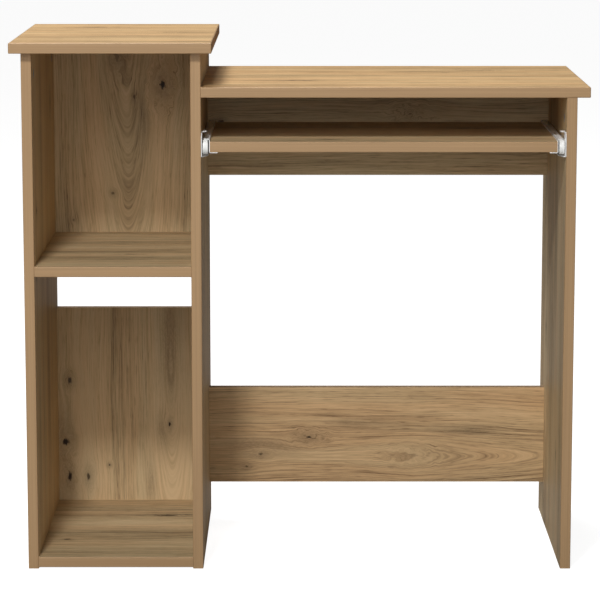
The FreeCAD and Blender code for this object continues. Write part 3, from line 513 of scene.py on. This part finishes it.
def edging_material(name, upright, seed):
    material = bpy.data.materials.new(f"edging_{name}")
    material.use_nodes = True
    tree = material.node_tree
    shader = tree.nodes["Principled BSDF"]
    parts = add_node(tree, "ShaderNodeSeparateXYZ",
                     {0: add_node(tree, "ShaderNodeTexCoord").outputs["Object"]}).outputs
    level = maths(tree, "ADD", parts["X"], parts["Y"])
    vector = vector_of(tree, parts["Z"], level, 0.0) if upright else vector_of(tree, level, parts["Z"], 0.0)
    print_ = place_group(tree, edging_group, {"Vector": vector, "Seed": seed})
    tree.links.new(print_["Color"], shader.inputs["Base Color"])
    tree.links.new(print_["Roughness"], shader.inputs["Roughness"])
    bump = add_node(tree, "ShaderNodeBump",
                    {"Height": print_["Height"], "Strength": 0.15, "Distance": 0.0001})
    tree.links.new(bump.outputs[0], shader.inputs["Normal"])
    shader.inputs["Specular IOR Level"].default_value = 0.4
    return material


for number, name in enumerate(sorted(nodes)):
    if name.endswith("_edge_band"):
        dress(name, edging_material(name, "side" in name, number * 3.7))

# ---------------------------------------------------------------- fixed slide members
# Each is a channel folded from steel sheet and coated white, with rolled bends. It is screwed to
# the panel, and its taller ear at the front carries the front roller.


def choose(kind, test):
    """In edit mode, select the points, edges or faces whose middle passes a test."""
    bpy.ops.mesh.select_mode(type=kind)
    bpy.ops.mesh.select_all(action="DESELECT")
    mesh = bpy.context.object.data
    shape = bmesh.from_edit_mesh(mesh)
    for part in {"VERT": shape.verts, "EDGE": shape.edges, "FACE": shape.faces}[kind]:
        if kind == "VERT":
            middle = part.co
        elif kind == "EDGE":
            middle = (part.verts[0].co + part.verts[1].co) / 2
        else:
            middle = part.calc_center_median()
        if test(middle):
            part.select_set(True)
    shape.select_flush_mode()
    bmesh.update_edit_mesh(mesh)


def near(value, target):
    return abs(value - target) < 1e-5


def start_piece(name):
    """Name the new primitive, lay its place and turn in its mesh, and open it in edit mode."""
    piece = bpy.context.object
    piece.name = name
    piece.data.name = name
    bpy.ops.object.transform_apply(location=True, rotation=True, scale=True)
    bpy.ops.object.mode_set(mode="EDIT")
    return piece


def pull(*step):
    bpy.ops.mesh.extrude_region_move(TRANSFORM_OT_translate={"value": step})


def use_modifier(piece, kind, **settings):
    made = piece.modifiers.new(kind.title(), kind)
    for setting, value in settings.items():
        setattr(made, setting, value)
    bpy.ops.object.modifier_apply(modifier=made.name)


def face_sheet(direction):
    """Turn the sheet's faces one way, so that its first side faces a direction."""
    bpy.ops.mesh.select_all(action="SELECT")
    bpy.ops.mesh.normals_make_consistent(inside=False)
    shape = bmesh.from_edit_mesh(bpy.context.object.data)
    shape.faces.ensure_lookup_table()
    largest = max(shape.faces, key=lambda face: face.calc_area())
    if largest.normal.dot(Vector(direction)) < 0:
        bpy.ops.mesh.flip_normals()
    bpy.ops.object.mode_set(mode="OBJECT")


CUTTER_LENGTH = 0.006


def punch(piece, radius, axis, places):
    """Punch round holes through the sheet."""
    turn = {"x": (0, math.radians(90), 0), "z": (0, 0, 0)}[axis]
    for place in places:
        bpy.ops.object.select_all(action="DESELECT")
        bpy.ops.mesh.primitive_cylinder_add(vertices=32, radius=radius, depth=CUTTER_LENGTH,
                                            location=place, rotation=turn)
        cutter = bpy.context.object
        bpy.context.view_layer.objects.active = piece
        use_modifier(piece, "BOOLEAN", object=cutter, operation="DIFFERENCE", solver="EXACT")
        bpy.data.objects.remove(cutter)


def soften(piece, width, segments=2, angle=50):
    """Round the edges a little and shade the faces smooth up to an angle."""
    use_modifier(piece, "BEVEL", width=width, segments=segments, limit_method="ANGLE",
                 angle_limit=math.radians(angle))
    bpy.ops.object.select_all(action="DESELECT")
    piece.select_set(True)
    bpy.ops.object.shade_smooth_by_angle(angle=math.radians(35))


SLIDE_MIDDLE = (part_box("slide_fixed_member_left")[0].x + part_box("slide_fixed_member_right")[1].x) / 2


def mirror_piece(piece, name):
    """The right-hand copy of a left-hand piece, with its own mesh."""
    bpy.ops.object.select_all(action="DESELECT")
    piece.select_set(True)
    bpy.context.view_layer.objects.active = piece
    bpy.ops.object.duplicate(linked=False)
    copy = bpy.context.object
    copy.name = name
    copy.data.name = name
    copy.scale.x = -1
    copy.location.x = 2 * SLIDE_MIDDLE
    bpy.ops.object.transform_apply(location=True, rotation=True, scale=True)
    bpy.ops.object.mode_set(mode="EDIT")
    bpy.ops.mesh.select_all(action="SELECT")
    bpy.ops.mesh.normals_make_consistent(inside=False)
    bpy.ops.object.mode_set(mode="OBJECT")
    return copy


def fit(piece, body, material, node):
    """The piece moves with a body, takes its finish, and stands for a drawn one."""
    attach(piece, body)
    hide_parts(node)
    piece.data.materials.clear()
    piece.data.materials.append(material)


SHEET = 0.0012
BEND = 0.0016
SHEET_ROUND = 0.00025
PANEL_SCREW_HOLE = 0.0033
AXLE_HOLE = 0.0026
panel_face, channel_front, channel_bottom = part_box("slide_fixed_member_left")[0]
flange_edge, channel_back, ear_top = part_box("slide_fixed_member_left")[1]
CHANNEL_HEIGHT = 0.025
channel_top = channel_bottom + CHANNEL_HEIGHT
EAR_LENGTH = 0.034
EAR_CORNER = 0.007
EAR_TAB = 0.008
FLANGE_SLANT = 0.009
# edges of the upper flange lie further back than this from the ear
BEHIND_EAR = 0.01
ear_back = channel_front + EAR_LENGTH + EAR_CORNER

bpy.ops.object.select_all(action="DESELECT")
bpy.ops.mesh.primitive_plane_add(size=1, rotation=(0, math.radians(90), 0), location=(
    panel_face, (channel_front + ear_back) / 2, (channel_bottom + ear_top) / 2))
bpy.context.object.scale = (ear_top - channel_bottom, ear_back - channel_front, 1)
channel_left = start_piece("slide_channel_left")
for corner, slope in (((panel_face, channel_front, ear_top - EAR_CORNER), (0, -1, 1)),
                      ((panel_face, ear_back, channel_top), (0, 1, 1))):
    bpy.ops.mesh.select_all(action="SELECT")
    bpy.ops.mesh.bisect(plane_co=corner, plane_no=slope, clear_outer=True)
bpy.ops.mesh.select_all(action="SELECT")
bpy.ops.mesh.bisect(plane_co=(0, 0, channel_top), plane_no=(0, 0, 1))
# the channel runs back from the ear
choose("EDGE", lambda at: near(at.y, ear_back) and at.z < channel_top)
pull(0, channel_back - ear_back, 0)
choose("EDGE", lambda at: near(at.z, channel_bottom))
pull(flange_edge - panel_face, 0, 0)
choose("EDGE", lambda at: near(at.z, channel_top) and at.y > ear_back + BEHIND_EAR)
pull(flange_edge - panel_face, 0, 0)
choose("EDGE", lambda at: near(at.z, ear_top))
pull(EAR_TAB, 0, 0)
# the flanges and the tab start with slanted corners
for level, front, side, step in ((channel_bottom, channel_front, flange_edge, EAR_LENGTH - EAR_CORNER),
                                 (channel_top, ear_back, flange_edge, FLANGE_SLANT),
                                 (ear_top, channel_front + EAR_CORNER, panel_face + EAR_TAB, EAR_CORNER)):
    choose("VERT", lambda at: near(at.z, level) and near(at.x, side) and near(at.y, front))
    bpy.ops.transform.translate(value=(0, step, 0))
choose("EDGE", lambda at: near(at.x, panel_face) and (
    near(at.z, channel_bottom) or near(at.z, ear_top)
    or near(at.z, channel_top) and at.y > ear_back + BEHIND_EAR))
bpy.ops.mesh.bevel(offset=BEND, segments=3, affect="EDGES")
face_sheet((1, 0, 0))
use_modifier(channel_left, "SOLIDIFY", thickness=SHEET, offset=1, use_even_offset=True)
SCREW_STEPS = (0.046, 0.161, 0.276)
channel_middle = (channel_bottom + channel_top) / 2
front_roller = sum(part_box("front_roller_left"), Vector()) / 2
rear_roller = sum(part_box("rear_roller_left"), Vector()) / 2
punch(channel_left, PANEL_SCREW_HOLE, "x",
      [(panel_face, channel_front + step, channel_middle) for step in SCREW_STEPS])
punch(channel_left, AXLE_HOLE, "x", [(panel_face, front_roller.y, front_roller.z)])
soften(channel_left, SHEET_ROUND)
channel_right = mirror_piece(channel_left, "slide_channel_right")

# ---------------------------------------------------------------- moving slide members
# Each is a strip folded the other way: a web on the tray's end, a flange under the tray that its
# screws go through, and a lip that hangs over the front roller.
lip_edge, member_front, under_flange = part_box("slide_moving_member_left")[0]
flange_inner, member_back, lip_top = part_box("slide_moving_member_left")[1]
tray_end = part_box("keyboard_tray")[0].x
LIP_SETBACK = 0.008
LIP_SLANT = 0.0054
lip_start = channel_front + LIP_SETBACK

bpy.ops.object.select_all(action="DESELECT")
bpy.ops.mesh.primitive_plane_add(size=1, rotation=(0, math.radians(90), 0), location=(
    tray_end, (member_front + member_back) / 2, (under_flange + SHEET + lip_top) / 2))
bpy.context.object.scale = (lip_top - under_flange - SHEET, member_back - member_front, 1)
member_left = start_piece("slide_member_left")
bpy.ops.mesh.select_all(action="SELECT")
bpy.ops.mesh.bisect(plane_co=(0, lip_start, 0), plane_no=(0, 1, 0))
choose("EDGE", lambda at: near(at.z, under_flange + SHEET))
pull(flange_inner - tray_end, 0, 0)
choose("EDGE", lambda at: near(at.z, lip_top) and at.y > lip_start)
pull(lip_edge - tray_end, 0, 0)
choose("VERT", lambda at: near(at.x, lip_edge) and near(at.y, lip_start))
bpy.ops.transform.translate(value=(0, LIP_SLANT, 0))
choose("EDGE", lambda at: near(at.x, tray_end) and (
    near(at.z, under_flange + SHEET) or near(at.z, lip_top) and at.y > lip_start))
bpy.ops.mesh.bevel(offset=BEND, segments=3, affect="EDGES")
face_sheet((-1, 0, 0))
use_modifier(member_left, "SOLIDIFY", thickness=SHEET, offset=1, use_even_offset=True)
TRAY_SCREW_INSET = 0.0065
TRAY_SCREW_HOLE = 0.00175
tray_screw_line = tray_end + TRAY_SCREW_INSET
punch(member_left, TRAY_SCREW_HOLE, "z",
      [(tray_screw_line, channel_front + step, under_flange) for step in SCREW_STEPS])
punch(member_left, AXLE_HOLE, "x", [(tray_end - SHEET / 2, rear_roller.y, rear_roller.z)])
soften(member_left, SHEET_ROUND)
member_right = mirror_piece(member_left, "slide_member_right")

# ---------------------------------------------------------------- white coating of the slides
# The folded steel of both members is coated with white epoxy powder, baked to a half gloss
# with a faint ripple.


def build_speckle():
    """Fine mottling for coated, cast and moulded parts: a mask, a roughness and a height."""
    tree, given, result = new_group(
        "fine_mottle", [("Vector", "Vector", None), ("Grain", "Float", 900.0), ("Cloud", "Float", 60.0),
                        ("Dull", "Float", 0.35), ("Spread", "Float", 0.12)],
        [("Mask", "Float"), ("Roughness", "Float"), ("Height", "Float")])

    def noise(scale, detail):
        return add_node(tree, "ShaderNodeTexNoise", {"Vector": given["Vector"], "Scale": scale,
                                                     "Detail": detail, "Roughness": 0.6}).outputs[0]

    ripple = noise(given["Grain"], 2.0)
    cloud = noise(given["Cloud"], 3.0)
    mask = maths(tree, "MULTIPLY_ADD", maths(tree, "SUBTRACT", ripple, 0.5), 0.5, cloud)
    tree.links.new(smooth(tree, mask, 0.25, 0.75), result["Mask"])
    tree.links.new(maths(tree, "MULTIPLY_ADD", maths(tree, "SUBTRACT", cloud, 0.5), given["Spread"],
                         given["Dull"]), result["Roughness"])
    tree.links.new(ripple, result["Height"])
    return tree


mottle_group = build_speckle()


def mottled(name, light, dark, metallic, dull, spread=0.12, grain=900.0, cloud=60.0, bump=0.1,
            specular=0.5):
    """A coated, cast or moulded finish that wanders between two colours."""
    material = bpy.data.materials.new(name)
    material.use_nodes = True
    tree = material.node_tree
    shader = tree.nodes["Principled BSDF"]
    coordinates = add_node(tree, "ShaderNodeTexCoord").outputs["Object"]
    mottle = place_group(tree, mottle_group, {"Vector": coordinates, "Grain": grain, "Cloud": cloud,
                                              "Dull": dull, "Spread": spread})
    colour = add_node(tree, "ShaderNodeMix", {0: mottle["Mask"]}, data_type="RGBA")
    colour.inputs[6].default_value = (*light, 1)
    colour.inputs[7].default_value = (*dark, 1)
    tree.links.new(colour.outputs[2], shader.inputs["Base Color"])
    tree.links.new(mottle["Roughness"], shader.inputs["Roughness"])
    relief = add_node(tree, "ShaderNodeBump",
                      {"Height": mottle["Height"], "Strength": bump, "Distance": 0.0001})
    tree.links.new(relief.outputs[0], shader.inputs["Normal"])
    shader.inputs["Metallic"].default_value = metallic
    shader.inputs["Specular IOR Level"].default_value = specular
    return material


white_coat = mottled("white_epoxy_coat", (0.96, 0.96, 0.95), (0.91, 0.91, 0.90), 0.0, 0.34)
for piece, body, node in ((channel_left, "root", "slide_fixed_member_left"),
                          (channel_right, "root", "slide_fixed_member_right"),
                          (member_left, "tray", "slide_moving_member_left"),
                          (member_right, "tray", "slide_moving_member_right")):
    fit(piece, body, white_coat, node)

# ---------------------------------------------------------------- rollers
# Four moulded plastic wheels with rounded treads, and a recess between the rim and the hub on
# the side of the rivet's head. The front ones turn on the panels and the rear ones on the tray.
white_plastic = mottled("roller_plastic", (0.96, 0.96, 0.94), (0.90, 0.90, 0.87), 0.0, 0.45, cloud=140.0,
                        bump=0.06, specular=0.4)
RIM_WIDTH = 0.0022
HUB_RADIUS = 0.0046
RECESS = 0.0016
ROLLER_ROUND = 0.0007
roller_low, roller_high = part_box("front_roller_left")
ROLLER_RADIUS = (roller_high.z - roller_low.z) / 2

bpy.ops.object.select_all(action="DESELECT")
bpy.ops.mesh.primitive_cylinder_add(vertices=72, radius=ROLLER_RADIUS, depth=roller_high.x - roller_low.x,
                                    rotation=(0, math.radians(90), 0), location=front_roller)
front_left = start_piece("roller_front_left")
choose("FACE", lambda at: near(at.x, roller_high.x))
bpy.ops.mesh.inset(thickness=RIM_WIDTH)
pull(-RECESS, 0, 0)
bpy.ops.mesh.inset(thickness=ROLLER_RADIUS - RIM_WIDTH - HUB_RADIUS)
pull(RECESS, 0, 0)
bpy.ops.object.mode_set(mode="OBJECT")
soften(front_left, ROLLER_ROUND, segments=4, angle=40)


def copy_piece(piece, name, shift):
    """A copy with its own mesh, moved by a step."""
    bpy.ops.object.select_all(action="DESELECT")
    piece.select_set(True)
    bpy.context.view_layer.objects.active = piece
    bpy.ops.object.duplicate(linked=False)
    copy = bpy.context.object
    copy.name = name
    copy.data.name = name
    copy.location = shift
    bpy.ops.object.transform_apply(location=True, rotation=True, scale=True)
    return copy


def turned_about(piece, name, centre_from, centre_to):
    """A copy with its own mesh, turned to face the other way and moved."""
    copy = mirror_piece(piece, name)
    mirrored = Vector((2 * SLIDE_MIDDLE - centre_from.x, centre_from.y, centre_from.z))
    copy.location = centre_to - mirrored
    bpy.ops.object.transform_apply(location=True, rotation=True, scale=True)
    return copy


front_right = mirror_piece(front_left, "roller_front_right")
rear_left = turned_about(front_left, "roller_rear_left", front_roller, rear_roller)
rear_right = mirror_piece(rear_left, "roller_rear_right")
for piece, node in ((front_left, "front_roller_left"), (front_right, "front_roller_right"),
                    (rear_left, "rear_roller_left"), (rear_right, "rear_roller_right")):
    fit(piece, node, white_plastic, node)

# ---------------------------------------------------------------- roller rivets
# Steel rivets with low domed heads. Each is set in the sheet of a slide member and holds its
# roller loosely.
rivet_steel = mottled("rivet_steel", (0.62, 0.62, 0.61), (0.46, 0.46, 0.46), 1.0, 0.36, grain=2600.0)
rivet_low, rivet_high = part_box("front_roller_rivet_left")
rivet_middle = (rivet_low + rivet_high) / 2
HEAD_RADIUS = (rivet_high.z - rivet_low.z) / 2
HEAD_DEPTH = 0.0008
SHANK_RADIUS = 0.0025
DOME = 0.6
RIVET_ROUND = 0.0001

bpy.ops.object.select_all(action="DESELECT")
bpy.ops.mesh.primitive_cylinder_add(vertices=48, radius=HEAD_RADIUS, depth=HEAD_DEPTH, rotation=(
    0, math.radians(90), 0), location=(rivet_high.x - HEAD_DEPTH / 2, rivet_middle.y, rivet_middle.z))
rivet_left = start_piece("rivet_front_left")
choose("FACE", lambda at: near(at.x, rivet_high.x - HEAD_DEPTH))
bpy.ops.mesh.inset(thickness=HEAD_RADIUS - SHANK_RADIUS)
pull(rivet_low.x - rivet_high.x + HEAD_DEPTH, 0, 0)
# the head is domed
choose("FACE", lambda at: near(at.x, rivet_high.x))
for ring in range(3):
    bpy.ops.mesh.inset(thickness=HEAD_RADIUS / 4)
shape = bmesh.from_edit_mesh(rivet_left.data)
for point in shape.verts:
    if near(point.co.x, rivet_high.x):
        reach = math.hypot(point.co.y - rivet_middle.y, point.co.z - rivet_middle.z) / HEAD_RADIUS
        point.co.x -= DOME * HEAD_DEPTH * reach ** 2
bmesh.update_edit_mesh(rivet_left.data)
bpy.ops.object.mode_set(mode="OBJECT")
soften(rivet_left, RIVET_ROUND)
rivet_right = mirror_piece(rivet_left, "rivet_front_right")
rear_rivet = sum(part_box("rear_roller_rivet_left"), Vector()) / 2
rivet_rear_left = turned_about(rivet_left, "rivet_rear_left", rivet_middle, rear_rivet)
rivet_rear_right = mirror_piece(rivet_rear_left, "rivet_rear_right")
for piece, body, node in ((rivet_left, "root", "front_roller_rivet_left"),
                          (rivet_right, "root", "front_roller_rivet_right"),
                          (rivet_rear_left, "tray", "rear_roller_rivet_left"),
                          (rivet_rear_right, "tray", "rear_roller_rivet_right")):
    fit(piece, body, rivet_steel, node)

# ---------------------------------------------------------------- screws of the slides
# Zinc-plated wood screws with cross recesses: flush heads hold the channels to the panels, and
# pan heads go up through the flanges into the tray.
screw_steel = mottled("screw_steel", (0.66, 0.66, 0.62), (0.50, 0.50, 0.46), 1.0, 0.30, grain=2200.0)
SCREW_HEAD = 0.0032
SCREW_SHANK = 0.0017
SCREW_LENGTH = 0.012
PAN_HEAD = 0.0016
PAN_ROUND = 0.0009
RECESS_BOX = (0.0034, 0.0008, 0.0018)
HEAD_CENTRE = 0.0005


def wood_screw(name, head_depth, cone):
    """A screw that points up from its head, with its head's face on the floor of its own frame."""
    bpy.ops.object.select_all(action="DESELECT")
    bpy.ops.mesh.primitive_cylinder_add(vertices=40, radius=SCREW_HEAD, depth=head_depth,
                                        location=(0, 0, head_depth / 2))
    screw = start_piece(name)
    choose("FACE", lambda at: near(at.z, head_depth))
    if cone:
        bpy.ops.transform.resize(value=(SCREW_SHANK / SCREW_HEAD, SCREW_SHANK / SCREW_HEAD, 1),
                                 center_override=(0, 0, head_depth))
    else:
        bpy.ops.mesh.inset(thickness=SCREW_HEAD - SCREW_SHANK)
    choose("FACE", lambda at: near(at.z, head_depth) and math.hypot(at.x, at.y) < HEAD_CENTRE)
    pull(0, 0, SCREW_LENGTH - 2 * SCREW_SHANK)
    pull(0, 0, 2 * SCREW_SHANK)
    bpy.ops.mesh.merge(type="CENTER")
    if not cone:
        # the pan head's rim is rounded over
        choose("EDGE", lambda at: near(at.z, 0))
        bpy.ops.mesh.bevel(offset=PAN_ROUND, segments=4, affect="EDGES")
    bpy.ops.object.mode_set(mode="OBJECT")
    for angle in (45, 135):
        bpy.ops.object.select_all(action="DESELECT")
        bpy.ops.mesh.primitive_cube_add(size=1, location=(0, 0, 0), rotation=(0, 0, math.radians(angle)))
        punch_tool = bpy.context.object
        punch_tool.scale = RECESS_BOX
        bpy.ops.object.transform_apply(location=True, rotation=True, scale=True)
        bpy.context.view_layer.objects.active = screw
        use_modifier(screw, "BOOLEAN", object=punch_tool, operation="DIFFERENCE", solver="EXACT")
        bpy.data.objects.remove(punch_tool)
    bpy.ops.object.select_all(action="DESELECT")
    screw.select_set(True)
    bpy.ops.object.shade_smooth_by_angle(angle=math.radians(30))
    return screw


def set_screws(screw, name, places):
    """Copies of one screw at several places, each turned its own way, joined as one group."""
    copies = []
    for place, turn in places:
        copy = copy_piece(screw, name, (0, 0, 0))
        copy.rotation_euler = turn
        copy.location = place
        bpy.ops.object.transform_apply(location=True, rotation=True, scale=True)
        copies.append(copy)
    bpy.data.objects.remove(screw)
    bpy.ops.object.select_all(action="DESELECT")
    for copy in copies:
        copy.select_set(True)
    bpy.context.view_layer.objects.active = copies[0]
    bpy.ops.object.join()
    copies[0].name = name
    copies[0].data.name = name
    return copies[0]


panel_places = []
tray_places = []
mirror_x = 2 * SLIDE_MIDDLE
pan_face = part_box("slide_tray_screws")[0].z
for step in SCREW_STEPS:
    along = channel_front + step
    panel_places.append(((panel_face + SHEET, along, channel_middle), (0, math.radians(-90), 0)))
    panel_places.append(((mirror_x - panel_face - SHEET, along, channel_middle), (0, math.radians(90), 0)))
    tray_places.append(((tray_screw_line, along, pan_face), (0, 0, math.radians(20))))
    tray_places.append(((mirror_x - tray_screw_line, along, pan_face), (0, 0, math.radians(65))))
panel_screws = set_screws(wood_screw("flush_screw", SHEET, True), "panel_screws", panel_places)
tray_screws = set_screws(wood_screw("pan_screw", PAN_HEAD, False), "tray_screws", tray_places)
fit(panel_screws, "root", screw_steel, "slide_panel_screws")
fit(tray_screws, "tray", screw_steel, "slide_tray_screws")

# ---------------------------------------------------------------- cams, cam bolts and dowels
# They hold the boards together: die-cast zinc cams sunk in bores, the steel bolts that they grip,
# and beech dowels between them. They stay as drawn and take their own finishes.
dress("cam_locks", mottled("cast_zinc", (0.50, 0.50, 0.50), (0.34, 0.34, 0.35), 1.0, 0.50, spread=0.3,
                           grain=1800.0, cloud=240.0, bump=0.25))
dress("cam_bolts", mottled("bolt_steel", (0.63, 0.63, 0.60), (0.48, 0.48, 0.46), 1.0, 0.34, grain=2000.0))
dress("wooden_dowels", mottled("beech", (0.60, 0.42, 0.25), (0.48, 0.31, 0.17), 0.0, 0.70, grain=1500.0,
                               cloud=320.0, bump=0.3, specular=0.2))
